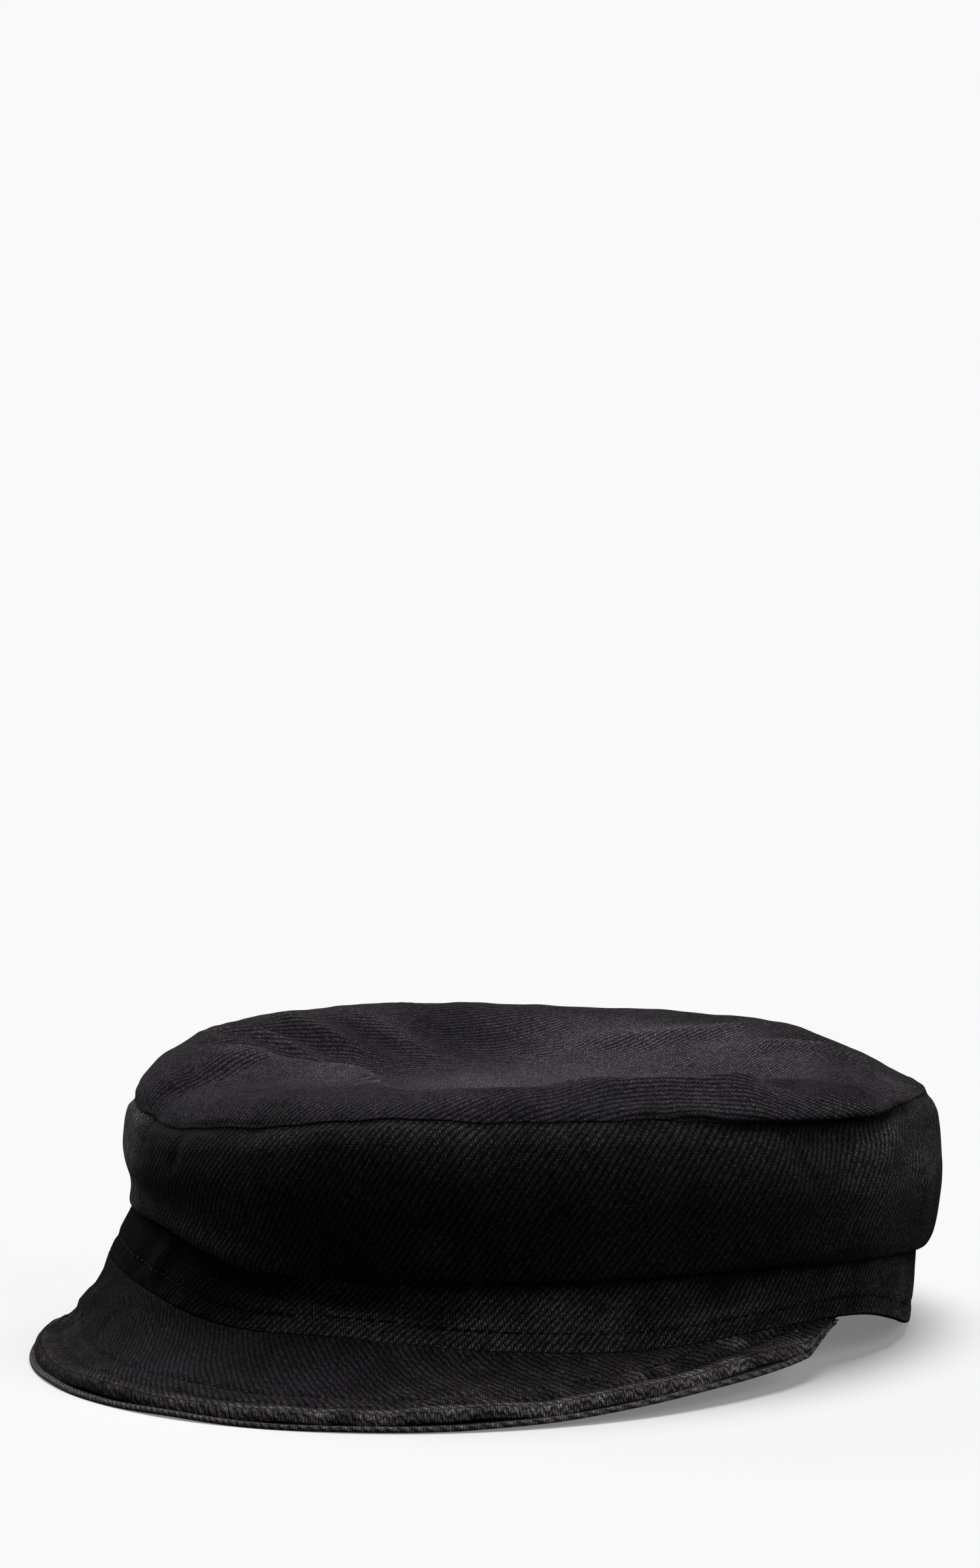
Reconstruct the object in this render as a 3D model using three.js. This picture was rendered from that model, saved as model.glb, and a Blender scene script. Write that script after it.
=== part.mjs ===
import * as THREE from 'three';

// A soft work cap of black cotton twill, lying on a flat surface.
// Its round crown has an oval top panel and a side of two panels, which slump over a stitched head band,
// and a two-ply peak is sewn under the front of the band's hem.
// Millimetres, +Z up. The peak points towards -Y, and +X is the wearer's left.
// A plan angle is in degrees from the middle of the front, and grows towards the wearer's left.

// Cloth and seams
const CLOTH = 1.2;
const BAND_WALL = 2.4;
const PLY = 2.0;
const GAP = 0.35;
const FACET_GAP = 0.5;

// Plan ovals of the cap's lines, each with its half sizes and how far its centre lies from the hem's.
const OVALS = {
  hem: { halfWidth: 86.3, halfLength: 99, toLeft: 0, toBack: 0 },
  bandTop: { halfWidth: 82.8, halfLength: 93, toLeft: 3.5, toBack: 5 },
  belly: { halfWidth: 88.5, halfLength: 104, toLeft: 2.9, toBack: 7 },
  seam: { halfWidth: 85.6, halfLength: 98, toLeft: 2.5, toBack: 6 },
};

// Heights of the same lines at every 20 degrees of plan angle, from the middle of the front.
// The crown folds over the band at fold, seam joins the side to the top, crest is the top of the puffy rim,
// lip is how far that rim stands out over the seam, and shoulder is how far in the rim turns over.
// From rim to basin, as shares of the way out from the middle, the top sinks to its lowest.
const STATIONS = [
  { at: 0, hem: 12.5, fold: 24, seam: 57, crest: 61.5, lip: 0.6, shoulder: 2.5, rim: 0.97, basin: 0.7 },
  { at: 20, hem: 10.5, fold: 25, seam: 57, crest: 63, lip: 0.8, shoulder: 2.5, rim: 0.97, basin: 0.7 },
  { at: 40, hem: 9.5, fold: 25, seam: 56.5, crest: 62.5, lip: 1, shoulder: 2.5, rim: 0.95, basin: 0.68 },
  { at: 60, hem: 11, fold: 25, seam: 53.5, crest: 61, lip: 1.5, shoulder: 2.5, rim: 0.92, basin: 0.62 },
  { at: 80, hem: 10, fold: 22.5, seam: 52, crest: 58.5, lip: 1.2, shoulder: 3.5, rim: 0.9, basin: 0.6 },
  { at: 100, hem: 3, fold: 20, seam: 51.8, crest: 56.4, lip: 0.1, shoulder: 5.5, rim: 0.92, basin: 0.55 },
  { at: 120, hem: 0, fold: 19.5, seam: 50.7, crest: 55.2, lip: 0, shoulder: 6, rim: 0.95, basin: 0.5 },
  { at: 140, hem: 0, fold: 20, seam: 51.5, crest: 56.2, lip: 0, shoulder: 6, rim: 0.97, basin: 0.45 },
  { at: 160, hem: 0, fold: 21, seam: 53, crest: 58.6, lip: 0.2, shoulder: 4.5, rim: 1, basin: 0.42 },
  { at: 180, hem: 0, fold: 22, seam: 54, crest: 60.3, lip: 0.5, shoulder: 3.5, rim: 1, basin: 0.42 },
  { at: 200, hem: 0, fold: 22.5, seam: 53.5, crest: 61.3, lip: 0.5, shoulder: 3.5, rim: 1, basin: 0.45 },
  { at: 220, hem: 0, fold: 23.5, seam: 52, crest: 62.5, lip: 0.5, shoulder: 4, rim: 0.97, basin: 0.5 },
  { at: 240, hem: 0, fold: 25, seam: 51, crest: 63.2, lip: 0.2, shoulder: 5.5, rim: 0.93, basin: 0.5 },
  { at: 260, hem: 6, fold: 27, seam: 51, crest: 63, lip: 0, shoulder: 7, rim: 0.88, basin: 0.48 },
  { at: 280, hem: 15, fold: 29, seam: 51.5, crest: 61.5, lip: -0.4, shoulder: 8, rim: 0.82, basin: 0.46 },
  { at: 300, hem: 18.5, fold: 30, seam: 51.5, crest: 60.5, lip: 0, shoulder: 6, rim: 0.78, basin: 0.46 },
  { at: 320, hem: 16.5, fold: 30, seam: 50.5, crest: 58.5, lip: 0.3, shoulder: 3, rim: 0.78, basin: 0.5 },
  { at: 340, hem: 12.5, fold: 25.5, seam: 53.3, crest: 59.8, lip: 0.5, shoulder: 2.5, rim: 0.88, basin: 0.6 },
];

// Side seams of the crown, and the valley that each draws into the cloth beside it
const SIDE_SEAMS = {
  left: { at: 91, depth: 2, reach: 20 },
  right: { at: -48, depth: 1.5, reach: 6 },
};

// Crown side: how its section swells between the fold and the seam, and how far the band runs up inside it
const BAND_HIDDEN = 7;
const UNDERSIDE = 0.55;
const LOW_BELLY = { height: 0.25, inset: 1.2, pinched: 0.4 };
const SHOULDER = { height: 0.82, inset: 1.2 };

// Top panel: its sunken middle and the roll at its rim
const SUNK_MIDDLE = 51.5;
const CREST_INSET = 9;
const ROLL_SHOULDER = 0.72;
const ROLL_LIP = 0.35;

// Folds of the top panel: each a soft ridge, or a valley where its height is negative
const FOLDS = [
  { name: 'valley from the right side seam', from: [-58, -50], to: [-44, -34], height: -2.5, reach: 5 },
  { name: 'main ridge at the right', from: [-68, -24], to: [-48, -14], height: 1.8, reach: 6 },
  { name: 'valley behind it', from: [-70, -13], to: [-54, 2], height: -1.2, reach: 5 },
  { name: 'second ridge at the right', from: [-66, -2], to: [-48, 20], height: 1.4, reach: 6 },
  { name: 'hollow at the back', from: [-42, 42], to: [-8, 58], height: -2, reach: 16 },
  { name: 'back ridge at the left', from: [12, 78], to: [58, 46], height: 1.8, reach: 6 },
  { name: 'its run to the side seam', from: [58, 46], to: [76, 8], height: 1.6, reach: 6 },
  { name: 'valley to the left side seam', from: [38, 36], to: [72, -4], height: -2.2, reach: 9 },
  { name: 'puff over the left temple', from: [54, -54], to: [70, -24], height: 1.5, reach: 10 },
];

// Peak: its outer edge is an oval of its own, lifted a little where it does not touch the surface
const PEAK_EDGE = { halfWidth: 91, halfLength: 113, toLeft: -2, toBack: -20 };
const PEAK_EDGE_END = 88;
const PEAK_HOLLOW = 1.8;
const PEAK_STATIONS = [
  { at: -88, root: -76, out: -1, lift: 0.7 },
  { at: -66, root: -57, out: -0.8, lift: 0 },
  { at: -44, root: -38, out: -0.8, lift: 0 },
  { at: -22, root: -19, out: -0.5, lift: 0 },
  { at: 0, root: 0, out: 0.4, lift: 0 },
  { at: 22, root: 18, out: 0.4, lift: 0 },
  { at: 44, root: 36, out: -1.8, lift: 2 },
  { at: 66, root: 53.5, out: -4.8, lift: 4.5 },
  { at: 88, root: 71.5, out: -7.5, lift: 6 },
];

// Facets and curves
const TENSION = 0.5;
const AROUND = 72;
const SIDE_STEPS = 8;
const TOP_RINGS = 12;
const ROLL_STEPS = 6;
const BAND_STEPS = 3;
const PEAK_ACROSS = 40;
const PEAK_DEEP = 7;
const NEARBY = 0.5;

const radians = THREE.MathUtils.degToRad;

// Even steps from start to end
function evenly(start, end, steps) {
  return Array.from({ length: steps + 1 }, (_, step) => start + (end - start) * step / steps);
}

// Uniform Catmull-Rom through evenly spaced values
function spline(before, start, end, after, t) {
  return 0.5 * (2 * start + (end - before) * t + (2 * before - 5 * start + 4 * end - after) * t * t
    + (3 * start - before - 3 * end + after) * t * t * t);
}

// One column of the station table at any plan angle
function line(column, angle) {
  const count = STATIONS.length;
  const place = THREE.MathUtils.euclideanModulo(angle, 360) * count / 360;
  const row = Math.floor(place);
  const value = (step) => STATIONS[(row + step + count) % count][column];
  return spline(value(-1), value(0), value(1), value(2), place - row);
}

// The hem's height: its back half lies flat on the surface
function hemHeight(angle) {
  return Math.max(0, line('hem', angle));
}

// One column of the peak's table, which runs from the wearer's right to the left
function peakLine(column, angle) {
  const last = PEAK_STATIONS.length - 1;
  const place = (angle - PEAK_STATIONS[0].at) / (PEAK_STATIONS[1].at - PEAK_STATIONS[0].at);
  const row = Math.min(Math.floor(place), last - 1);
  const value = (step) => PEAK_STATIONS[THREE.MathUtils.clamp(row + step, 0, last)][column];
  return spline(value(-1), value(0), value(1), value(2), place - row);
}

// A point on an oval, moved out by a distance, at a height
function onOval(oval, angle, out, height) {
  const turn = radians(angle);
  const x = oval.toLeft + (oval.halfWidth + out) * Math.sin(turn);
  const y = oval.toBack - (oval.halfLength + out) * Math.cos(turn);
  return new THREE.Vector3(x, y, height);
}

// How far the side seams pull the crown's side in at a plan angle
function pinch(angle) {
  return Object.values(SIDE_SEAMS).reduce((sum, seam) => {
    const away = THREE.MathUtils.euclideanModulo(angle - seam.at + 180, 360) - 180;
    const distance = radians(away) * OVALS.seam.halfWidth;
    return sum + seam.depth * Math.exp(-((distance / seam.reach) ** 2));
  }, 0);
}

// A point on the outer face of the head band, moved out by a distance
function bandFace(angle, out, height) {
  const hem = hemHeight(angle);
  const top = line('fold', angle) + BAND_HIDDEN;
  const low = onOval(OVALS.hem, angle, out, hem);
  const high = onOval(OVALS.bandTop, angle, out, top);
  return low.lerp(high, (height - hem) / (top - hem));
}

function headBandSection(angle) {
  const hem = hemHeight(angle);
  const rise = line('fold', angle) + BAND_HIDDEN - hem;
  return evenly(0, 1, BAND_STEPS).map((share) => bandFace(angle, 0, hem + rise * share));
}

function crownSideSection(angle) {
  const fold = line('fold', angle);
  const seam = line('seam', angle);
  const rise = seam - fold;
  const drawn = pinch(angle);
  const lowest = bandFace(angle, 0, fold).lerp(onOval(OVALS.belly, angle, 0, fold), UNDERSIDE);
  const points = [
    bandFace(angle, FACET_GAP, fold),
    lowest,
    onOval(OVALS.belly, angle, -LOW_BELLY.inset - drawn * LOW_BELLY.pinched, fold + rise * LOW_BELLY.height),
    onOval(OVALS.belly, angle, -drawn, fold + rise / 2),
    onOval(OVALS.belly, angle, -SHOULDER.inset - drawn, fold + rise * SHOULDER.height),
    onOval(OVALS.seam, angle, -drawn, seam),
  ];
  return new THREE.CatmullRomCurve3(points, false, 'catmullrom', TENSION).getPoints(SIDE_STEPS);
}

// How far the folds lift or sink the top panel at a point of its plan
function folded(x, y) {
  return FOLDS.reduce((sum, fold) => {
    const [fromX, fromY] = fold.from;
    const run = [fold.to[0] - fromX, fold.to[1] - fromY];
    const along = ((x - fromX) * run[0] + (y - fromY) * run[1]) / (run[0] ** 2 + run[1] ** 2);
    const share = THREE.MathUtils.clamp(along, 0, 1);
    const away = Math.hypot(x - fromX - run[0] * share, y - fromY - run[1] * share);
    return sum + fold.height * Math.exp(-((away / fold.reach) ** 2));
  }, 0);
}

// The top panel inside its crest, at a share of the way from the middle to the crest
function topField(angle, share) {
  const crest = onOval(OVALS.seam, angle, -CREST_INSET - pinch(angle), line('crest', angle));
  const point = new THREE.Vector3(OVALS.seam.toLeft, OVALS.seam.toBack, SUNK_MIDDLE);
  const risen = THREE.MathUtils.smoothstep(share, line('basin', angle), line('rim', angle));
  point.x += (crest.x - point.x) * share;
  point.y += (crest.y - point.y) * share;
  point.z += (crest.z - point.z) * risen + folded(point.x, point.y);
  return point;
}

function topPanelSection(angle) {
  const seam = line('seam', angle);
  const rise = line('crest', angle) - seam;
  const drawn = pinch(angle);
  const roll = new THREE.CatmullRomCurve3([
    onOval(OVALS.seam, angle, -drawn, seam + FACET_GAP),
    onOval(OVALS.seam, angle, line('lip', angle) - drawn, seam + rise * ROLL_LIP),
    onOval(OVALS.seam, angle, -line('shoulder', angle) - drawn, seam + rise * ROLL_SHOULDER),
    topField(angle, 1),
  ], false, 'catmullrom', TENSION);
  const rows = roll.getPoints(ROLL_STEPS);
  for (let ring = 1; ring < TOP_RINGS; ring += 1) {
    rows.push(topField(angle, 1 - ring / TOP_RINGS));
  }
  return rows;
}

// The upper face of the peak, from its outer edge to its root under the hem
function peakSection(place) {
  const edgeAngle = place * PEAK_EDGE_END;
  const rootAngle = peakLine('root', edgeAngle);
  const root = onOval(OVALS.hem, rootAngle, -BAND_WALL, hemHeight(rootAngle) - FACET_GAP);
  const lift = Math.max(0, peakLine('lift', edgeAngle));
  const edge = onOval(PEAK_EDGE, edgeAngle, peakLine('out', edgeAngle), lift + 2 * PLY + GAP);
  const rows = [];
  for (let step = 0; step <= PEAK_DEEP; step += 1) {
    const share = step / PEAK_DEEP;
    const point = edge.clone().lerp(root, share);
    point.z = edge.z + (root.z - edge.z) * share ** PEAK_HOLLOW;
    rows.push(point);
  }
  return rows;
}

// Moves every point of a set of sections straight down
function lowered(sections, drop) {
  return sections.map((rows) => rows.map((point) => point.clone().setZ(point.z - drop)));
}

// One section set in by a thickness, square to the cloth, or level where it has to stay upright
function setIn(section, angle, thickness, level) {
  const before = section(angle - NEARBY);
  const after = section(angle + NEARBY);
  const rows = section(angle);
  return rows.map((point, j) => {
    const along = after[j].clone().sub(before[j]);
    const up = rows[Math.min(j + 1, rows.length - 1)].clone().sub(rows[Math.max(j - 1, 0)]);
    const normal = along.cross(up);
    if (level) {
      normal.z = 0;
    }
    return point.clone().addScaledVector(normal.normalize(), -thickness);
  });
}

// A closed cloth wall between an outer and an inner set of sections
// A pole is a pair of points, outer and inner, that closes the last row of a round panel
function clothWall(outer, inner, closed, pole) {
  const count = outer.length;
  const rows = outer[0].length;
  const positions = [];
  const index = [];
  [...outer, ...inner].flat().forEach((point) => positions.push(...point.toArray()));
  const at = (side, i, j) => (side * count + (i % count)) * rows + j;
  const quad = (a, b, c, d) => index.push(a, b, c, a, c, d);
  const spans = closed ? count : count - 1;
  for (let i = 0; i < spans; i += 1) {
    for (let j = 0; j < rows - 1; j += 1) {
      quad(at(0, i, j), at(0, i + 1, j), at(0, i + 1, j + 1), at(0, i, j + 1));
      quad(at(1, i, j), at(1, i, j + 1), at(1, i + 1, j + 1), at(1, i + 1, j));
    }
    quad(at(1, i, 0), at(1, i + 1, 0), at(0, i + 1, 0), at(0, i, 0));
    if (!pole) {
      quad(at(0, i, rows - 1), at(0, i + 1, rows - 1), at(1, i + 1, rows - 1), at(1, i, rows - 1));
    }
  }
  if (!closed) {
    for (let j = 0; j < rows - 1; j += 1) {
      quad(at(0, 0, j), at(0, 0, j + 1), at(1, 0, j + 1), at(1, 0, j));
      quad(at(0, count - 1, j), at(1, count - 1, j), at(1, count - 1, j + 1), at(0, count - 1, j + 1));
    }
  }
  if (pole) {
    const top = positions.length / 3;
    pole.forEach((point) => positions.push(...point.toArray()));
    for (let i = 0; i < count; i += 1) {
      index.push(at(0, i, rows - 1), at(0, i + 1, rows - 1), top);
      index.push(at(1, i + 1, rows - 1), at(1, i, rows - 1), top + 1);
    }
  }
  const geometry = new THREE.BufferGeometry();
  geometry.setAttribute('position', new THREE.Float32BufferAttribute(positions, 3));
  geometry.setIndex(index);
  geometry.computeVertexNormals();
  return geometry;
}

const cap = new THREE.Group();

function addPiece(name, geometry, colour, roughness) {
  const material = new THREE.MeshStandardMaterial({ color: colour, roughness, metalness: 0 });
  const piece = new THREE.Mesh(geometry, material);
  piece.name = name;
  cap.add(piece);
}

const allRound = evenly(0, 360, AROUND).slice(0, -1);

// Top panel
const topOuter = allRound.map(topPanelSection);
const topInner = allRound.map((angle) => setIn(topPanelSection, angle, CLOTH, false));
const middle = topField(0, 0);
const middleInner = middle.clone().setZ(middle.z - CLOTH);
addPiece('top_panel', clothWall(topOuter, topInner, true, [middle, middleInner]), 0x2f2d30, 0.95);

// Crown side, front and back panels between the side seams
const seamHalf = THREE.MathUtils.radToDeg(FACET_GAP / 2 / OVALS.seam.halfWidth);
[
  ['crown_side_front', SIDE_SEAMS.right.at + seamHalf, SIDE_SEAMS.left.at - seamHalf],
  ['crown_side_back', SIDE_SEAMS.left.at + seamHalf, SIDE_SEAMS.right.at + 360 - seamHalf],
].forEach(([name, start, end]) => {
  const angles = evenly(start, end, Math.round((end - start) * AROUND / 360));
  const outer = angles.map(crownSideSection);
  const inner = angles.map((angle) => setIn(crownSideSection, angle, CLOTH, false));
  addPiece(name, clothWall(outer, inner, false, null), 0x100f11, 0.95);
});

// Head band, upright, with a level lower edge
const bandOuter = allRound.map(headBandSection);
const bandInner = allRound.map((angle) => setIn(headBandSection, angle, BAND_WALL, true));
addPiece('head_band', clothWall(bandOuter, bandInner, true, null), 0x111011, 0.95);

// Peak, two plies with the same outline
const peakFace = evenly(-1, 1, PEAK_ACROSS).map(peakSection);
addPiece('peak_top', clothWall(peakFace, lowered(peakFace, PLY), false, null), 0x1e1c1d, 0.92);
const underFace = lowered(peakFace, PLY + GAP);
addPiece('peak_under', clothWall(underFace, lowered(underFace, PLY), false, null), 0x1e1c1d, 0.92);

// The origin lies on the surface, under the middle of the cap's box
const box = new THREE.Box3().setFromObject(cap);
const centre = box.getCenter(new THREE.Vector3());
cap.position.set(-centre.x, -centre.y, -box.min.z);

export default cap;
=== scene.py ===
import bpy
import numpy as np
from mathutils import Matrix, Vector


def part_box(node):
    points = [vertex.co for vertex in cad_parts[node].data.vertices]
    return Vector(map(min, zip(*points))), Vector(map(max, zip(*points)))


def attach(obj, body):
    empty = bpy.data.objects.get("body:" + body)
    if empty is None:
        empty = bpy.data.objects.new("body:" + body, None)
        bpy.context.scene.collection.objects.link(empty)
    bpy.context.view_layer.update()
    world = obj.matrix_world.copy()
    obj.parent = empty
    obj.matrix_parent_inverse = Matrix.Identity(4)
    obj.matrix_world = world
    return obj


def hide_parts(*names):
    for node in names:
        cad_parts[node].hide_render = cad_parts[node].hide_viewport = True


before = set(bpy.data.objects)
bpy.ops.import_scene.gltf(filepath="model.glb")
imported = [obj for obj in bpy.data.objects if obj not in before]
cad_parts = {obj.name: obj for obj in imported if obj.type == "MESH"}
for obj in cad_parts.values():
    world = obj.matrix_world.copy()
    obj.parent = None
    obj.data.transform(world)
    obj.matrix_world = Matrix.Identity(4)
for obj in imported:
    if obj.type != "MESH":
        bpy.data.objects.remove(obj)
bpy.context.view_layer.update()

# Head band
# A strip of black cotton twill folded double, 1 mm thick at the pressed fold and 2.4 mm above it. Its ends
# join over the wearer's left temple. It is stitched 4 mm above the fold, and its top is sewn inside the
# crown, which slumps over it.
MILLIMETRE = 0.001
BAND_WALL = 2.4
BAND_EDGE = 1.0
BAND_JOIN = 66
BAND_HIDDEN = 7
BAND_COLUMNS = 540
BAND_ROWS = 30
HEM_OVAL = {"half_width": 86.3, "half_length": 99, "to_left": 0, "to_back": 0}
BAND_TOP_OVAL = {"half_width": 82.8, "half_length": 93, "to_left": 3.5, "to_back": 5}
# Heights in millimetres for every 20 degrees round the cap, from the front's middle towards the wearer's left
HEM_HEIGHT = (12.5, 10.5, 9.5, 11, 10, 3, 0, 0, 0, 0, 0, 0, 0, 6, 15, 18.5, 16.5, 12.5)
FOLD_HEIGHT = (24, 25, 25, 25, 22.5, 20, 19.5, 20, 21, 22, 22.5, 23.5, 25, 27, 29, 30, 30, 25.5)
BAND_UNEVEN = ({"height": 0.45, "wavelength": 42, "seed": 1}, {"height": 0.16, "wavelength": 13, "seed": 2})
HEM_STITCH = {"above": 4, "pitch": 2.6, "groove": 0.35, "groove_reach": 0.8}
THREAD = {"length": 1.9, "width": 0.34, "proud": 0.02}
low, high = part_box("head_band")
hem_middle = (low + high) / 2 / MILLIMETRE


# A smooth curve from start to end, given the values before and after them
def spline(before, start, end, after, t):
    return 0.5 * (2 * start + (end - before) * t + (2 * before - 5 * start + 4 * end - after) * t ** 2
                  + (3 * start - before - 3 * end + after) * t ** 3)


# A value at any angle from a column that has one for every equal step round the cap
def around(column, angle):
    values = np.array(column, float)
    place = np.mod(angle, 360) * len(values) / 360
    row = np.floor(place).astype(int)
    near = [values[(row + step) % len(values)] for step in (-1, 0, 1, 2)]
    return spline(*near, place - row)


def side_by_side(*columns):
    return np.stack(np.broadcast_arrays(*columns), axis=-1)


# A point on an oval, at an angle from the front towards the wearer's left, some way out from the oval
def on_oval(oval, angle, out, height):
    turn = np.radians(angle)
    x = oval["to_left"] + (oval["half_width"] + out) * np.sin(turn)
    y = oval["to_back"] - (oval["half_length"] + out) * np.cos(turn)
    return side_by_side(x, y, height)


def hem_height(angle):
    return np.maximum(0, around(HEM_HEIGHT, angle))


def band_face(angle, out, height):
    hem = hem_height(angle)
    top = around(FOLD_HEIGHT, angle) + BAND_HIDDEN
    share = ((height - hem) / (top - hem))[..., None]
    return on_oval(HEM_OVAL, angle, out, hem) * (1 - share) + on_oval(BAND_TOP_OVAL, angle, out, top) * share


def eased(value):
    value = np.clip(value, 0, 1)
    return value * value * (3 - 2 * value)


# An angle from the front, in degrees: to the wearer's left above zero, to their right below it
def from_front(angle):
    return (angle + 180) % 360 - 180


def bell(distance, reach):
    return np.exp(-(distance / reach) ** 2)


# Soft unevenness of the cloth: a sum of small waves in all directions, the same at every run
def uneven(points, wavelength, seed):
    waves = 14
    chance = np.random.default_rng(seed)
    total = np.zeros(points.shape[:-1])
    for _ in range(waves):
        way = chance.normal(size=3)
        way *= 2 * np.pi / (np.linalg.norm(way) * wavelength * chance.uniform(0.75, 1.4))
        total += np.sin(points @ way + chance.uniform(0, 2 * np.pi))
    return total / waves ** 0.5


# Unevenness of several wavelengths, each with its own height
def uneven_as(points, heights):
    return sum(row["height"] * uneven(points, row["wavelength"], row["seed"]) for row in heights)


# The way out of a face of cloth at each of its points
def outward(face, wrap):
    if wrap:
        along = np.roll(face, -1, 0) - np.roll(face, 1, 0)
    else:
        along = np.gradient(face, axis=0)
    normal = np.cross(along, np.gradient(face, axis=1))
    return normal / np.linalg.norm(normal, axis=-1, keepdims=True)


def run_length(points, axis):
    steps = np.linalg.norm(np.diff(points, axis=axis), axis=-1)
    start = np.zeros_like(np.take(steps, [0], axis=axis))
    return np.cumsum(np.concatenate([start, steps], axis=axis), axis=axis)


# How far each point of a flat chart lies from a bent line, and how far along that line its nearest point is
def from_line(chart, line):
    start, bend, end = (np.array(point, float) for point in line)
    steps = 25
    share = np.linspace(0, 1, steps)[:, None]
    path = start * (1 - share) ** 2 + bend * 2 * share * (1 - share) + end * share ** 2
    away = np.full(chart.shape[:-1], 1e9)
    along = np.zeros(chart.shape[:-1])
    for place, point in zip(share[:, 0], path):
        distance = np.hypot(chart[..., 0] - point[0], chart[..., 1] - point[1])
        along = np.where(distance < away, place, along)
        away = np.minimum(away, distance)
    return away, along


# Sum of the folds in a list: each a ridge, or a valley where its height is negative
def folds_at(chart, folds):
    total = np.zeros(chart.shape[:-1])
    for fold in folds:
        away, along = from_line(chart, fold["line"])
        fade = eased(along / fold["start_fade"]) * eased((1 - along) / fold["end_fade"])
        total += fold["height"] * fade * np.exp(-(away / fold["reach"]) ** fold["shape"])
    return total


def fold(line, height, reach, start_fade=0.3, end_fade=0.3, shape=2):
    return {"line": line, "height": height, "reach": reach,
            "start_fade": start_fade, "end_fade": end_fade, "shape": shape}


# A wall of cloth as one closed section: its outer face, a rounded edge, its inner face and the other edge
def walled(face, normal, thickness, turns=4, bulge=0.5, lean=0.0):
    thickness = np.broadcast_to(thickness, face.shape[:-1])[..., None]
    inner = face - normal * thickness
    parts = [face]
    for end, before in ((-1, -2), (0, 1)):
        out = face[:, end] - face[:, before]
        out /= np.linalg.norm(out, axis=-1, keepdims=True)
        across = (face[:, end] - inner[:, end]) / 2
        middle = (face[:, end] + inner[:, end]) / 2
        sign = 1 if end == -1 else -1
        for turn in range(1, turns):
            angle = np.pi * turn / turns
            reach = bulge * np.sin(angle) + (lean * np.cos(angle / 2) if end == 0 else 0)
            point = middle + across * np.cos(angle) * sign + out * reach * thickness[:, end]
            parts.append(point[:, None])
        if end == -1:
            parts.append(inner[:, ::-1])
    return np.concatenate(parts, axis=1)


# A smooth mesh in the frame's place, from points in millimetres
def smooth_piece(name, points, faces):
    mesh = bpy.data.meshes.new(name)
    places = (points + (hem_middle.x, hem_middle.y, 0)) * MILLIMETRE
    mesh.from_pydata(places.tolist(), [], faces)
    mesh.shade_smooth()
    piece = bpy.data.objects.new(name, mesh)
    bpy.context.scene.collection.objects.link(piece)
    return piece


# A piece of cloth from its sections, with its own flat chart as its UV map, and its wear and painted light
# from the first row on
def cloth_piece(name, sections, chart, wrap, ring, wear_and_painted_light):
    columns, rows = sections.shape[:2]
    i, j = np.meshgrid(np.arange(columns - (not wrap)), np.arange(rows - (not ring)), indexing="ij")
    i, j = i.ravel(), j.ravel()
    next_i, next_j = (i + 1) % columns, (j + 1) % rows
    corners = np.stack([i * rows + j, next_i * rows + j, next_i * rows + next_j, i * rows + next_j], axis=1)
    flat = np.stack([chart[i, j], chart[i + 1, j], chart[i + 1, next_j], chart[i, next_j]], axis=1)
    faces = corners.tolist()
    flat = flat.reshape(-1, 2).tolist()
    if not wrap:
        for column in (0, columns - 1):
            end = [column * rows + row for row in range(rows)]
            faces.append(end[::-1] if column == 0 else end)
            flat.extend(chart[column, row].tolist() for row in range(rows))
    if not ring:
        for row in (0, rows - 1):
            end = [column * rows + row for column in range(columns)]
            faces.append(end[::-1] if row == 0 else end)
            flat.extend(chart[column, row].tolist() for column in range(columns))
    piece = smooth_piece(name, sections.reshape(-1, 3), faces)
    piece.data.uv_layers.new(name="cloth").data.foreach_set("uv", np.array(flat, np.float32).ravel())
    wear_and_light_layer = piece.data.attributes.new("wear_and_painted_light", "FLOAT", "POINT")
    all_wear_and_painted_light = np.pad(wear_and_painted_light, ((0, 0), (0, rows - wear_and_painted_light.shape[1])))
    wear_and_light_layer.data.foreach_set("value", all_wear_and_painted_light.astype(np.float32).ravel())
    return piece


# Threads of a row of stitches, each a short rounded bar laid in the cloth
def stitch_row(name, path, up, pitch, thread):
    length = run_length(path, 0)
    count = int(length[-1] / pitch)
    places = (np.arange(count) + 0.5) * length[-1] / count
    middle = np.stack([np.interp(places, length, path[:, k]) for k in range(3)], axis=1)
    ahead = np.stack([np.interp(places + 0.5, length, path[:, k]) for k in range(3)], axis=1)
    rise = np.stack([np.interp(places, length, up[:, k]) for k in range(3)], axis=1)
    way = (ahead - middle) / np.linalg.norm(ahead - middle, axis=1, keepdims=True)
    side = np.cross(rise, way)
    bar_sides, bar_rings = 8, 7
    around_bar = np.linspace(0, 2 * np.pi, bar_sides, endpoint=False)
    along_bar = np.linspace(-np.pi / 2, np.pi / 2, bar_rings)
    points = []
    faces = []
    for stitch in range(count):
        first = len(points)
        for lean in along_bar:
            for turn in around_bar:
                across = side[stitch] * np.cos(turn) + rise[stitch] * np.sin(turn)
                points.append(middle[stitch] + way[stitch] * thread["length"] / 2 * np.sin(lean)
                              + across * thread["width"] / 2 * np.cos(lean) ** 0.5)
        for ring in range(bar_rings - 1):
            for step in range(bar_sides):
                a = first + ring * bar_sides + step
                b = first + ring * bar_sides + (step + 1) % bar_sides
                faces.append((a, b, b + bar_sides, a + bar_sides))
    return smooth_piece(name, np.array(points), faces)


# The inputs of a shader node, each linked or set
def feed(tree, node, inputs):
    for name, value in inputs.items():
        if isinstance(value, bpy.types.NodeSocket):
            tree.links.new(value, node.inputs[name])
        else:
            node.inputs[name].default_value = value


def place_node(tree, kind, inputs=None, **settings):
    made = tree.nodes.new(kind)
    for name, value in settings.items():
        setattr(made, name, value)
    feed(tree, made, inputs or {})
    return made


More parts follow.
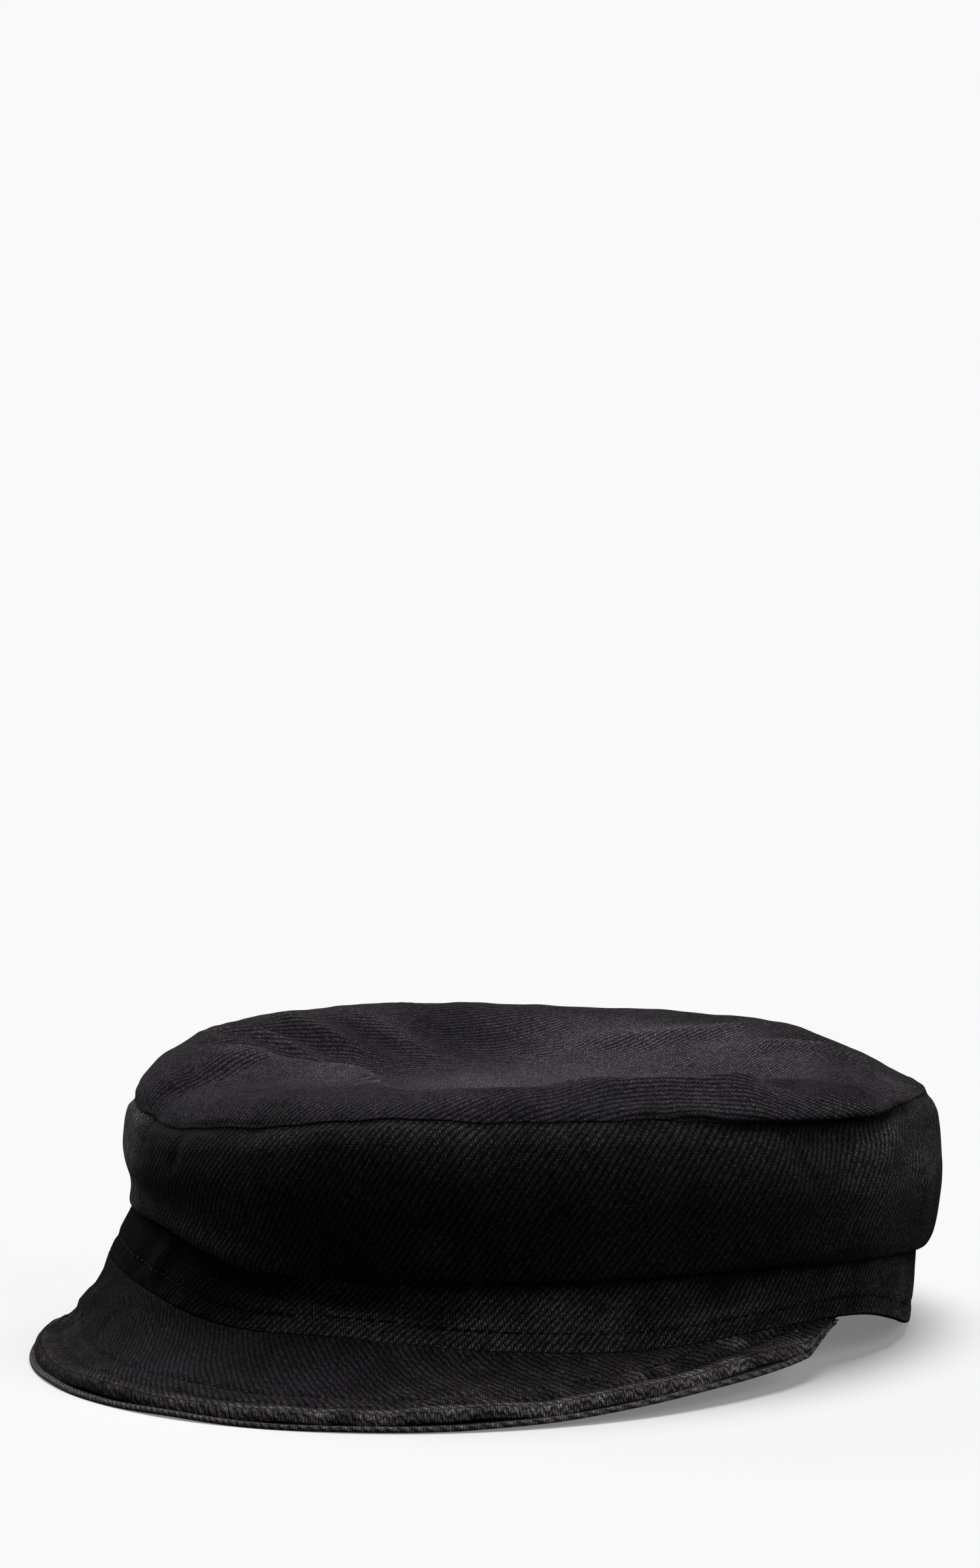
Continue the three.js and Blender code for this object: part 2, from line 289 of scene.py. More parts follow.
# One step of arithmetic in a shader
def math_node(tree, operation, *values):
    return place_node(tree, "ShaderNodeMath", dict(enumerate(values)), operation=operation).outputs[0]


def times(tree, *values):
    return math_node(tree, "MULTIPLY", *values)


def plus(tree, *values):
    return math_node(tree, "ADD", *values)


# A value carried over from the range between start and end to the one between low and high
def ranged(tree, value, low, high, start=0.0, end=1.0, **settings):
    limits = {"Value": value, "From Min": start, "From Max": end, "To Min": low, "To Max": high}
    return place_node(tree, "ShaderNodeMapRange", limits, **settings).outputs[0]


def grey(tree, tone):
    mixed = place_node(tree, "ShaderNodeCombineColor", {part: tone for part in ("Red", "Green", "Blue")})
    return mixed.outputs[0]


# The named inputs and outputs of a node group
def group_sockets(tree, inputs, outputs):
    for name, kind, value in inputs:
        socket = tree.interface.new_socket(name=name, in_out="INPUT", socket_type=kind)
        if value is not None:
            socket.default_value = value
    for name, kind in outputs:
        tree.interface.new_socket(name=name, in_out="OUTPUT", socket_type=kind)
    return tree.nodes.new("NodeGroupInput").outputs, tree.nodes.new("NodeGroupOutput").inputs


# Twill weave, two over and one under: each warp yarn floats across a slanted rib and dives at the rib's edges
weave = bpy.data.node_groups.new("twill weave", "ShaderNodeTree")
given, put = group_sockets(weave, [
    ("Cloth", "NodeSocketVector", None),
    ("Rib Spacing", "NodeSocketFloat", 1.35),
    ("Rib Slant", "NodeSocketFloat", 50.0), ("Yarn Spacing", "NodeSocketFloat", 0.54),
    ("Yarn Slant", "NodeSocketFloat", 95.0), ("Weft Spacing", "NodeSocketFloat", 0.53),
    ("Drift", "NodeSocketFloat", 2.0),
], [("Relief", "NodeSocketFloat"), ("Yarn", "NodeSocketFloat")])


# The cloth's chart, shaken a little so its yarns wander
def shaken(tree, vector, scale, size, detail):
    noise = place_node(tree, "ShaderNodeTexNoise", {"Vector": vector, "Scale": scale, "Detail": detail})
    centred = place_node(tree, "ShaderNodeVectorMath", {0: noise.outputs["Color"], 1: (0.5, 0.5, 0.5)},
                         operation="SUBTRACT")
    scaled = place_node(tree, "ShaderNodeVectorMath", {0: centred.outputs[0], "Scale": size},
                        operation="SCALE")
    moved = place_node(tree, "ShaderNodeVectorMath", {0: vector, 1: scaled.outputs[0]}, operation="ADD")
    return moved.outputs[0]


# The number of the nearest of many slanted lines, and how far off it is: 0 on it, 1 halfway to the next
def across_lines(tree, parts, slant, spacing):
    angle = math_node(tree, "RADIANS", slant)
    level = times(tree, parts.outputs["X"], math_node(tree, "SINE", angle))
    rise = times(tree, parts.outputs["Y"], math_node(tree, "COSINE", angle))
    place = math_node(tree, "DIVIDE", math_node(tree, "SUBTRACT", level, rise), spacing)
    number = math_node(tree, "ROUND", place)
    to_line = math_node(tree, "SUBTRACT", place, number)
    return number, math_node(tree, "ABSOLUTE", times(tree, to_line, 2.0))


# A smooth round back: 1 on the line, 0 halfway to the next
def rounded(tree, off):
    wave = math_node(tree, "COSINE", times(tree, off, np.pi))
    lifted = plus(tree, 0.5, times(tree, wave, 0.499))
    return math_node(tree, "POWER", lifted, 0.55)


drifted = shaken(weave, given["Cloth"], 0.035, given["Drift"], 2.0)
spun = shaken(weave, drifted, 1.3, 0.55, 3.0)
parts = place_node(weave, "ShaderNodeSeparateXYZ", {0: spun})
rib_number, off_rib = across_lines(weave, parts, given["Rib Slant"], given["Rib Spacing"])
yarn_number, off_yarn = across_lines(weave, parts, given["Yarn Slant"], given["Yarn Spacing"])
weft_number, off_weft = across_lines(weave, parts, 0.0, given["Weft Spacing"])
rib = rounded(weave, off_rib)
yarn_round = plus(weave, 0.3, times(weave, rounded(weave, off_yarn), 0.7))
weft_round = plus(weave, 0.62, times(weave, rounded(weave, off_weft), 0.38))
chance = place_node(weave, "ShaderNodeCombineXYZ", {"X": rib_number, "Y": yarn_number, "Z": weft_number})
yarn = place_node(weave, "ShaderNodeTexWhiteNoise", {"Vector": chance.outputs[0]},
                  noise_dimensions="3D").outputs["Value"]
yarn_height = plus(weave, 0.7, times(weave, yarn, 0.3))
ribbed = plus(weave, 0.12, times(weave, rib, 0.88))
crossed = times(weave, yarn_round, weft_round)
relief = times(weave, times(weave, ribbed, crossed), yarn_height)
weave.links.new(relief, put["Relief"])
weave.links.new(yarn, put["Yarn"])

# Washed dye: black cotton that has faded in clouds, most on its raised yarns and where it is worn. It also
# paints the weave's light and shade: raised yarns lighter and the gaps between them darker. Its wear value
# lightens the cloth where it is above zero, as wear and painted light, and darkens it where it is below zero,
# as painted shade.
dye_and_painted_light = bpy.data.node_groups.new("washed dye", "ShaderNodeTree")
given, put = group_sockets(dye_and_painted_light, [
    ("Dyed With Painted Light", "NodeSocketColor", (0.01, 0.01, 0.01, 1)), ("Faded With Painted Light", "NodeSocketColor", (0.04, 0.04, 0.04, 1)),
    ("Relief", "NodeSocketFloat", 0.5), ("Yarn", "NodeSocketFloat", 0.5), ("Wear And Painted Light", "NodeSocketFloat", 0.0),
    ("Cloud Size", "NodeSocketFloat", 12.0), ("Depth", "NodeSocketFloat", 0.7),
    ("Cloth", "NodeSocketVector", None),
], [("Colour", "NodeSocketColor")])
cloud_scale = math_node(dye_and_painted_light, "DIVIDE", 1.0, given["Cloud Size"])
cloud = place_node(dye_and_painted_light, "ShaderNodeTexNoise", {"Vector": given["Cloth"], "Scale": cloud_scale, "Detail": 4.0,
                                               "Roughness": 0.6})
wear_and_light_on_yarn = times(dye_and_painted_light, given["Wear And Painted Light"], plus(dye_and_painted_light, 0.6, times(dye_and_painted_light, given["Relief"], 0.9)))
fade = place_node(dye_and_painted_light, "ShaderNodeClamp", {"Value": wear_and_light_on_yarn}).outputs[0]
blend = place_node(dye_and_painted_light, "ShaderNodeMix", {"Factor": fade}, data_type="RGBA")
colour_in = [socket for socket in blend.inputs if socket.type == "RGBA"]
dye_and_painted_light.links.new(given["Dyed With Painted Light"], colour_in[0])
dye_and_painted_light.links.new(given["Faded With Painted Light"], colour_in[1])
colour_out = next(socket for socket in blend.outputs if socket.type == "RGBA")
yarn_tone = plus(dye_and_painted_light, 0.6, times(dye_and_painted_light, given["Yarn"], 0.8))
# Painted light and shade of the weave: raised yarns lighter, the gaps between them darker, with a random tone
# per yarn
pile = times(dye_and_painted_light, times(dye_and_painted_light, given["Relief"], 2.6), yarn_tone)
painted_weave_shading = times(dye_and_painted_light, given["Depth"], math_node(dye_and_painted_light, "SUBTRACT", pile, 1.0))
lint = place_node(dye_and_painted_light, "ShaderNodeTexNoise", {"Vector": given["Cloth"], "Scale": 2.4, "Detail": 2.0})
lint_tone = plus(dye_and_painted_light, 0.35, times(dye_and_painted_light, lint.outputs[0], 1.3))
cloud_tone = plus(dye_and_painted_light, 0.4, times(dye_and_painted_light, cloud.outputs[0], 1.2))
shade = times(dye_and_painted_light, plus(dye_and_painted_light, 1.0, painted_weave_shading), lint_tone)
shade = times(dye_and_painted_light, shade, cloud_tone)
# Below zero, the wear value darkens the cloth as painted shade
painted_shade = place_node(dye_and_painted_light, "ShaderNodeClamp", {"Value": plus(dye_and_painted_light, given["Wear And Painted Light"], 1.0)}).outputs[0]
shade = times(dye_and_painted_light, shade, painted_shade)
shaded = place_node(dye_and_painted_light, "ShaderNodeVectorMath", {0: colour_out, "Scale": shade}, operation="SCALE")
fluff = place_node(dye_and_painted_light, "ShaderNodeTexVoronoi", {"Vector": given["Cloth"], "Scale": 0.22})
small = ranged(dye_and_painted_light, fluff.outputs["Distance"], 0.0, 1.0, 0.05, 0.03)
chosen = place_node(dye_and_painted_light, "ShaderNodeSeparateXYZ", {0: fluff.outputs["Color"]})
few = math_node(dye_and_painted_light, "GREATER_THAN", chosen.outputs["X"], 0.8)
speck = times(dye_and_painted_light, times(dye_and_painted_light, small, few), 0.035)
fluff_colour = place_node(dye_and_painted_light, "ShaderNodeCombineXYZ", {"X": speck, "Y": speck, "Z": speck}).outputs[0]
shaded = place_node(dye_and_painted_light, "ShaderNodeVectorMath", {0: shaded.outputs[0], 1: fluff_colour}, operation="ADD")
dye_and_painted_light.links.new(shaded.outputs[0], put["Colour"])


# The fine fuzz between the yarns stands this high, in millimetres
FUZZ = 0.12


def new_material(name):
    material = bpy.data.materials.new(name)
    material.use_nodes = True
    return material, material.node_tree, material.node_tree.nodes["Principled BSDF"]


# A black cotton twill, with this piece's own grain, dye and wear, and its painted light and shade: its dyed
# colour is set per piece, and its depth sets how much of the weave's light and shade is painted in
def twill(name, dyed_with_painted_light, faded_with_painted_light, ribs, yarns, relief, depth, sheen, clouds=14.0):
    material, tree, surface = new_material(name)
    cloth = place_node(tree, "ShaderNodeUVMap", uv_map="cloth").outputs[0]
    woven = place_node(tree, "ShaderNodeGroup", {
        "Cloth": cloth, "Rib Spacing": ribs[0], "Rib Slant": ribs[1], "Yarn Spacing": yarns[0],
        "Yarn Slant": yarns[1]}, node_tree=weave)
    wear_and_painted_light = place_node(tree, "ShaderNodeAttribute", attribute_name="wear_and_painted_light").outputs["Fac"]
    cloth_with_painted_light = place_node(tree, "ShaderNodeGroup", {
        "Dyed With Painted Light": (*dyed_with_painted_light, 1), "Faded With Painted Light": (*faded_with_painted_light, 1), "Relief": woven.outputs["Relief"],
        "Yarn": woven.outputs["Yarn"], "Wear And Painted Light": wear_and_painted_light, "Cloud Size": clouds, "Depth": depth,
        "Cloth": cloth}, node_tree=dye_and_painted_light)
    nap = place_node(tree, "ShaderNodeTexNoise", {"Vector": cloth, "Scale": 0.5, "Detail": 5.0,
                                                  "Roughness": 0.7})
    fuzz = place_node(tree, "ShaderNodeTexNoise", {"Vector": cloth, "Scale": 2.6, "Detail": 3.0,
                                                   "Roughness": 0.7})
    soft = place_node(tree, "ShaderNodeBump", {"Height": fuzz.outputs[0], "Distance": FUZZ * MILLIMETRE,
                                               "Strength": 1.0})
    raised = place_node(tree, "ShaderNodeBump", {"Height": woven.outputs["Relief"], "Normal": soft.outputs[0],
                                                 "Distance": relief * MILLIMETRE, "Strength": 1.0})
    feed(tree, surface, {
        "Base Color": cloth_with_painted_light.outputs["Colour"], "Normal": raised.outputs[0],
        "Roughness": ranged(tree, nap.outputs[0], 0.82, 1.0), "Specular IOR Level": 0.02,
        "Sheen Weight": sheen, "Sheen Roughness": 0.45})
    return material


# Folds of the band, at millimetres round the hem from the front's middle and millimetres above the hem
BAND_FOLDS = [
    fold([(-17, 8.5), (5, 6.5), (31, 6)], -1.3, 3.2),
    fold([(-20, 3.4), (5, 3.2), (34, 3.4)], 0.7, 2.6),
    fold([(66, 9), (80, 10.5), (96, 14)], -1.2, 3.0),
    fold([(60, 4), (84, 5), (110, 5.5)], 0.6, 3.0),
    fold([(-62, 2), (-58, 7), (-57, 13)], 0.7, 3.0),
]
angles = BAND_JOIN + np.arange(BAND_COLUMNS) * 360 / BAND_COLUMNS
shares = np.linspace(0, 1, BAND_ROWS)
angle, share = np.meshgrid(angles, shares, indexing="ij")
lowest = hem_height(angle) + BAND_EDGE / 2
height = lowest + (around(FOLD_HEIGHT, angle) + BAND_HIDDEN - lowest) * share
band = band_face(angle, 0, height)
girth = np.radians(from_front(angle)) * HEM_OVAL["half_width"]
above_hem = height - hem_height(angle)
shape = folds_at(np.stack([girth, above_hem], axis=-1), BAND_FOLDS)
shape += uneven_as(band, BAND_UNEVEN)
# The thread pulls a groove with a small pucker at each stitch, and the folded edge is a little rough
above_stitch = above_hem - HEM_STITCH["above"]
shape -= HEM_STITCH["groove"] * bell(above_stitch, HEM_STITCH["groove_reach"])
shape += 0.1 * bell(above_stitch, 2.2) * np.sin(2 * np.pi * girth / HEM_STITCH["pitch"])
shape += 0.12 * bell(above_hem, 2) * uneven(band, 5, 3)
band_out = outward(band, True)
hidden = 1 - eased((share - 0.75) / 0.2)
band = band + band_out * (shape * hidden)[..., None]
band_out = outward(band, True)
band_out[..., 2] *= 0.3
band_out /= np.linalg.norm(band_out, axis=-1, keepdims=True)
band_sections = walled(band, band_out, BAND_EDGE + (BAND_WALL - BAND_EDGE) * eased(above_hem / 5))
# Lighter low on the band, at its folded edge and above its stitches, most towards the wearer's left: partly
# wear, partly painted light that follows how the light falls round the band, darkest at the wearer's right
# front where the crown's overhang shades it. Its folds get painted highlight on their ridges and painted
# shade in their valleys.
rear = eased((np.abs(girth) - 150) / 60)
painted_dimmer_stretch = eased((girth - 40) / 30) * (1 - eased((girth - 118) / 18))
painted_light_round_band = eased((girth + 45) / 50) * (1 - 0.42 * painted_dimmer_stretch)
painted_light_round_band = painted_light_round_band * (1 - rear) + 0.35 * np.maximum(rear, eased((-girth - 95) / 40))
wear_and_painted_light = (0.3 * bell(above_hem, 1.2) + 0.12 * bell(above_stitch - 1.2, 0.9)) * (0.12 + painted_light_round_band)
wear_and_painted_light += 0.37 * painted_light_round_band * (1 - eased((above_hem - 9) / 8)) + 0.05 * shape
wear_and_painted_light = wear_and_painted_light * (0.85 + 0.18 * uneven(band, 11, 4))
wrapped = np.concatenate([band_sections, band_sections[:1]], axis=0)
along = run_length(band[:, 8], 0)[:, None]
along = np.concatenate([along, along[-1:] + 1], axis=0)
up_wall = run_length(wrapped, 1)
band_chart = side_by_side(along, up_wall)
head_band = cloth_piece("head_band_cloth", band_sections, band_chart, True, True, wear_and_painted_light)
# The band's dyed colour is set far darker than the crown's, as painted shade under the crown's overhang
band_twill = twill("band twill", (0.0025, 0.0023, 0.0024), (0.15, 0.141, 0.146),
                   ribs=(1.33, 58), yarns=(0.55, 114), relief=0.36, depth=0.95, sheen=0.0)
head_band.data.materials.append(band_twill)
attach(head_band, "root")
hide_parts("head_band")

row = np.argmin(np.abs(above_hem - HEM_STITCH["above"]), axis=1)
columns = np.arange(BAND_COLUMNS)
stitch_path = band[columns, row] + band_out[columns, row] * THREAD["proud"]
stitch_path[:, 2] = hem_height(angles) + HEM_STITCH["above"]
band_stitches = stitch_row("head_band_stitches", stitch_path, band_out[columns, row],
                           HEM_STITCH["pitch"], THREAD)
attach(band_stitches, "root")

# Sewing thread
# A matt black spun cotton thread, twisted from two strands, a little darker than the faded cloth it lies on.
# It is laid in short stitches, each pulled tight into the cloth so that it sinks in a groove.
thread_black, tree, surface = new_material("sewing thread")
spun = place_node(tree, "ShaderNodeTexCoord").outputs["Object"]
strands = place_node(tree, "ShaderNodeTexWave", {"Vector": spun, "Scale": 900.0, "Distortion": 1.5},
                     bands_direction="DIAGONAL")
feed(tree, surface, {"Base Color": grey(tree, ranged(tree, strands.outputs["Fac"], 0.0015, 0.005)),
                     "Roughness": 0.85, "Specular IOR Level": 0.1})
band_stitches.data.materials.append(thread_black)

# Crown side
# Two panels of the same twill, 1.2 mm thick with their allowances, joined by a side seam on each side.
# They slump out over the band in a belly, tuck in under it, and are sewn to the top panel in a turned seam.
CLOTH = 1.2
SIDE_ROWS = 76
SIDE_HEIGHT = 38
SIDE_UNEVEN = ({"height": 0.4, "wavelength": 48, "seed": 11}, {"height": 0.16, "wavelength": 17, "seed": 12})
GATHERS = {"height": 0.14, "pitch": 3.4, "reach": 7, "run": 16}
BELLY_OVAL = {"half_width": 88.5, "half_length": 104, "to_left": 2.9, "to_back": 7}
SEAM_OVAL = {"half_width": 85.6, "half_length": 98, "to_left": 2.5, "to_back": 6}
SEAM_HEIGHT = (57, 57, 56.5, 53.5, 52, 51.8, 50.7, 51.5, 53, 54, 53.5, 52, 51, 51, 51.5, 51.5, 50.5, 53.3)
SIDE_SEAMS = {"left": {"at": 91, "depth": 2, "reach": 20}, "right": {"at": -48, "depth": 1.5, "reach": 6}}
DRAWN_IN = {"at": 69, "depth": 2.2, "reach": 13}
LOW_BELLY = {"height": 0.25, "inset": 1.2, "pinched": 0.4}
SHOULDER = {"height": 0.82, "inset": 1.2}
UNDERSIDE = 0.55
SEAM_TURN = 0.14
SEAM_TUCK = 1.6
# Folds of the side, at millimetres round the seam from the front's middle and millimetres up the side
SIDE_FOLDS = [
    fold([(86, 36), (104, 35), (124, 36)], -0.9, 3.0),
    fold([(88, 37), (91, 31), (95, 22)], -0.8, 2.0, start_fade=0.01),
    fold([(104, 31), (118, 28), (130, 33)], 1.1, 5.0),
    fold([(-51, 38), (-51, 33), (-52, 27)], -0.7, 1.8, start_fade=0.01),
    fold([(-62, 30), (-40, 26), (-8, 24)], 0.8, 6.0),
    fold([(-86, 10), (-50, 7), (-8, 5)], 3.2, 7.0),
    fold([(135, 30), (138, 20), (140, 10)], 1.0, 4.5),
    fold([(60, 8), (95, 10), (128, 6)], 0.9, 6.0),
]


# The crown seam doesn't run quite level
def seam_wander(angle):
    slow = np.sin(np.radians(angle * 17)) * np.sin(np.radians(angle * 5 + 40))
    quick = np.sin(np.radians(angle * 41))
    return 0.25 * slow + 0.12 * quick


def round_the_seam(angle, seam):
    return np.radians(from_front(angle - seam["at"])) * SEAM_OVAL["half_width"]


# How far marks round the crown draw its cloth in, each with its depth and reach
def drawn_at(angle, marks):
    return sum(mark["depth"] * bell(round_the_seam(angle, mark), mark["reach"]) for mark in marks)


def pinch(angle):
    return drawn_at(angle, (*SIDE_SEAMS.values(), DRAWN_IN))


# A smooth curve through stacked points, evenly spaced in its own measure
def through(points, places):
    points = [2 * points[0] - points[1], *points, 2 * points[-1] - points[-2]]
    step = places * (len(points) - 3)
    first = np.minimum(np.floor(step).astype(int), len(points) - 4)
    return np.stack([spline(*points[f:f + 4], s - f) for f, s in zip(first, step)], axis=1)


# The seam's turned edge: a small quarter turn inward and a straight tuck, downward (-1) or upward (1)
def turned_in(edge, angle, way):
    inward = on_oval(SEAM_OVAL, angle, -1, 0) - on_oval(SEAM_OVAL, angle, 0, 0)
    inward /= np.linalg.norm(inward, axis=-1, keepdims=True)
    rows = []
    for turn in np.radians((30, 60, 90)):
        rows.append(edge + inward * SEAM_TURN * (1 - np.cos(turn))[..., None]
                    + np.array([0, 0, way * SEAM_TURN]) * np.sin(turn))
    rows.append(rows[-1] + inward * SEAM_TUCK)
    return np.stack(rows, axis=1)


# The face of the side, from the fold under the belly up to the crown seam
def crown_side(angle):
    fold_at = around(FOLD_HEIGHT, angle)
    seam = around(SEAM_HEIGHT, angle) + seam_wander(angle) - SEAM_TURN
    rise = seam - fold_at
    drawn = pinch(angle)
    under_belly = on_oval(BELLY_OVAL, angle, 0, fold_at)
    lowest = band_face(angle, 0, fold_at) * (1 - UNDERSIDE) + under_belly * UNDERSIDE
    return through([
        band_face(angle, 0.2, fold_at),
        lowest,
        on_oval(BELLY_OVAL, angle, -LOW_BELLY["inset"] - drawn * LOW_BELLY["pinched"],
                fold_at + rise * LOW_BELLY["height"]),
        on_oval(BELLY_OVAL, angle, -drawn * 0.5, fold_at + rise / 2),
        on_oval(BELLY_OVAL, angle, -SHOULDER["inset"] - drawn, fold_at + rise * SHOULDER["height"]),
        on_oval(SEAM_OVAL, angle, -drawn, seam),
    ], np.linspace(0, 1, SIDE_ROWS))


side_twill = twill("crown side twill", (0.0145, 0.0134, 0.0139), (0.08, 0.0755, 0.0775),
                   ribs=(1.33, 57), yarns=(0.55, 113), relief=0.36, depth=0.95, sheen=0.01)


# One panel of the side between two angles, its ends rolled under at the side seams
def crown_panel(name, start, end, node):
    edge_steps = np.array([0, 0.1, 0.22, 0.4, 0.65, 1.0])
    middle = np.linspace(start + 1.5, end - 1.5, int((end - start) * 1.6))
    angles = np.concatenate([start + edge_steps, middle, end - edge_steps[::-1]])
    facing = from_front(angles)[:, None]
    side = crown_side(angles)
    up = run_length(side, 1)
    from_seam = up[:, -1:] - up
    girth = np.radians(angles)[:, None] * SEAM_OVAL["half_width"]
    chart = side_by_side(girth, SIDE_HEIGHT - from_seam)
    front_girth = np.radians(facing) * SEAM_OVAL["half_width"]
    fold_chart = side_by_side(front_girth, SIDE_HEIGHT - from_seam)
    shape = folds_at(fold_chart, SIDE_FOLDS)
    shape += uneven_as(side, SIDE_UNEVEN)
    puckers = uneven(side_by_side(girth, from_seam * 0.25, 0), 8, 13)
    shape += 0.28 * puckers * np.exp(-from_seam / 5)
    shape += 0.16 * eased(from_seam / 1.2) * (1 - eased((from_seam - 4.5) / 3))
    gathers = np.zeros_like(shape)
    for seam in SIDE_SEAMS.values():
        away = round_the_seam(angles, seam)[:, None]
        lines = np.sin(2 * np.pi * (from_seam + 0.18 * np.abs(away)) / GATHERS["pitch"])
        fade = np.exp(-np.abs(away) / GATHERS["reach"]) * np.exp(-from_seam / GATHERS["run"])
        gathers += GATHERS["height"] * lines * fade
    shape += gathers
    shape *= eased(from_seam / 2.5) * eased(up / 5)
    to_edge = np.minimum(angles - start, end - angles)[:, None]
    sunk = 0.06 + 0.6 * np.exp(-from_seam / 6)
    shape -= sunk * (1 - np.sqrt(1 - (1 - np.clip(to_edge, 0, 1)) ** 2))
    side = side + outward(side, False) * shape[..., None]
    turned = turned_in(side[:, -1], angles, 1)
    side = np.concatenate([side, turned], axis=1)
    sections = walled(side, outward(side, False), CLOTH, turns=2)
    # Worn by the crown seam. Painted light at both ends, where the cloth turns towards the side lights, on
    # the upper side at the front and the wearer's left, and low at the wearer's right, with painted highlight
    # and shade on the folds; the back is an even tone, with a faint lighter patch at the right front. Painted
    # shade in the tuck behind the left front, low in front of it, and along the seam at the wearer's right.
    right_end = 1.6 * eased((-facing - 46) / 11) * (1 - 0.8 * eased((-facing - 78) / 40))
    painted_light_left_end = 0.34 * eased((facing - 62) / 14) * (1 - 0.45 * eased((facing - 110) / 50))
    ends = right_end + painted_light_left_end * (1 - 0.5 * eased((from_seam - 16) / 12))
    painted_light_upper = 0.15 * eased((facing + 12) / 20) * (1 - eased((from_seam - 7) / 8))
    wear_and_painted_light = 0.1 * bell(from_seam - 3.5, 3) * (0.6 + 0.5 * uneven(side[:, :SIDE_ROWS], 8, 14))
    wear_and_painted_light = wear_and_painted_light + np.maximum(painted_light_upper, ends) + 0.05 * shape[:, :SIDE_ROWS]
    wear_and_painted_light += 0.34 * eased((-facing - 4) / 22) * eased((from_seam - 11) / 12)
    rear = eased((np.abs(facing) - 110) / 50)
    wear_and_painted_light = wear_and_painted_light * (1 - rear) + 0.16 * rear
    wear_and_painted_light += 0.07 * bell(facing + 28, 16) * bell(from_seam - 17, 8)
    # Painted shade: in the tuck under the top's roll, along the seam at the wearer's right and low at the
    # left front
    painted_tuck_shade = eased((facing - 44) / 15) * (1 - eased((facing - 90) / 5))
    wear_and_painted_light -= 0.6 * painted_tuck_shade * bell(from_seam, 1.8)
    wear_and_painted_light -= 0.16 * (1 - eased((facing + 35) / 20)) * (1 - rear) * bell(from_seam, 12)
    wear_and_painted_light -= 0.3 * eased((facing - 35) / 20) * (1 - eased((facing - 72) / 14)) * eased((from_seam - 20) / 8)
    rest = np.repeat(chart[:, -1:], sections.shape[1] - chart.shape[1], axis=1)
    rest[..., 1] += run_length(sections, 1)[:, chart.shape[1]:] - up[:, -1:]
    full_chart = np.concatenate([chart, rest], axis=1)
    panel = cloth_piece(name, sections, full_chart, False, True, wear_and_painted_light)
    panel.data.materials.append(side_twill)
    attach(panel, "root")
    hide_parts(node)


PANEL_OVERLAP = 0.12
right_seam, left_seam = SIDE_SEAMS["right"]["at"], SIDE_SEAMS["left"]["at"]
crown_panel("crown_side_front_cloth", right_seam - PANEL_OVERLAP, left_seam + PANEL_OVERLAP,
            "crown_side_front")
crown_panel("crown_side_back_cloth", left_seam - PANEL_OVERLAP, right_seam + 360 + PANEL_OVERLAP,
            "crown_side_back")

# Top panel
# One oval of twill, cut larger than the crown's rim, so it rolls over the seam in a soft puffy edge and sinks
# inside. Folds run in from the two side seams, and its cloth is set paler than the sides' as painted light on
# its upward face, with a little lint.
CREST_HEIGHT = (61.5, 62.8, 62.5, 61.4, 58.8, 56.2, 55.8, 58.4, 59.6, 60.3, 61.3, 62.5, 63.2, 63.2, 62.4, 61,
                58.8, 59.8)
LIP = (-2.2, -2, -0.8, 2.5, 2.0, -3.2, -4.2, -2.4, -0.9, -0.4, -0.4, -0.6, -0.9, -1.1, -1.2, -1.5, -2.2, -2.4)
LIP_RISE = (0.35, 0.35, 0.3, 0.16, 0.16, 0.3, *12 * (0.35,))
TOP_SHOULDER = (5.2, 5, 4.2, 1.6, 3.2, 9.6, 9.8, 7, 5.5, 4.5, 4, 4, 4.2, 4.5, 4.6, 5, 5.8, 5.6)
CREST_INSET = (10, 10, 9, 8, 10, 12, 13, 12, 9, 9, 9, 9, 9, 9, 9.5, 10.5, 13, 12)
RIM = (0.93, 0.97, 0.95, 0.92, 0.9, 0.92, 0.95, 0.97, 1, 1, 1, 0.97, 0.93, 0.9, 0.9, 0.84, 0.74, 0.78)
BASIN = (0.68, 0.7, 0.68, 0.62, 0.6, 0.55, 0.5, 0.45, 0.42, 0.42, 0.45, 0.5, 0.5, 0.5, 0.55, 0.6, 0.52, 0.54)
SUNK_MIDDLE = 51.5
SEAM_WALL = 0.25
TOP_UNEVEN = ({"height": 0.24, "wavelength": 34, "seed": 21}, {"height": 0.14, "wavelength": 15, "seed": 22},
              {"height": 0.06, "wavelength": 7, "seed": 25})
ROLL_SHOULDER = 0.72
ROLL_CREASES = ({"at": -49, "depth": 3.4, "reach": 4.5}, {"at": 89, "depth": 3.0, "reach": 5})
CREASE_RUN = 14
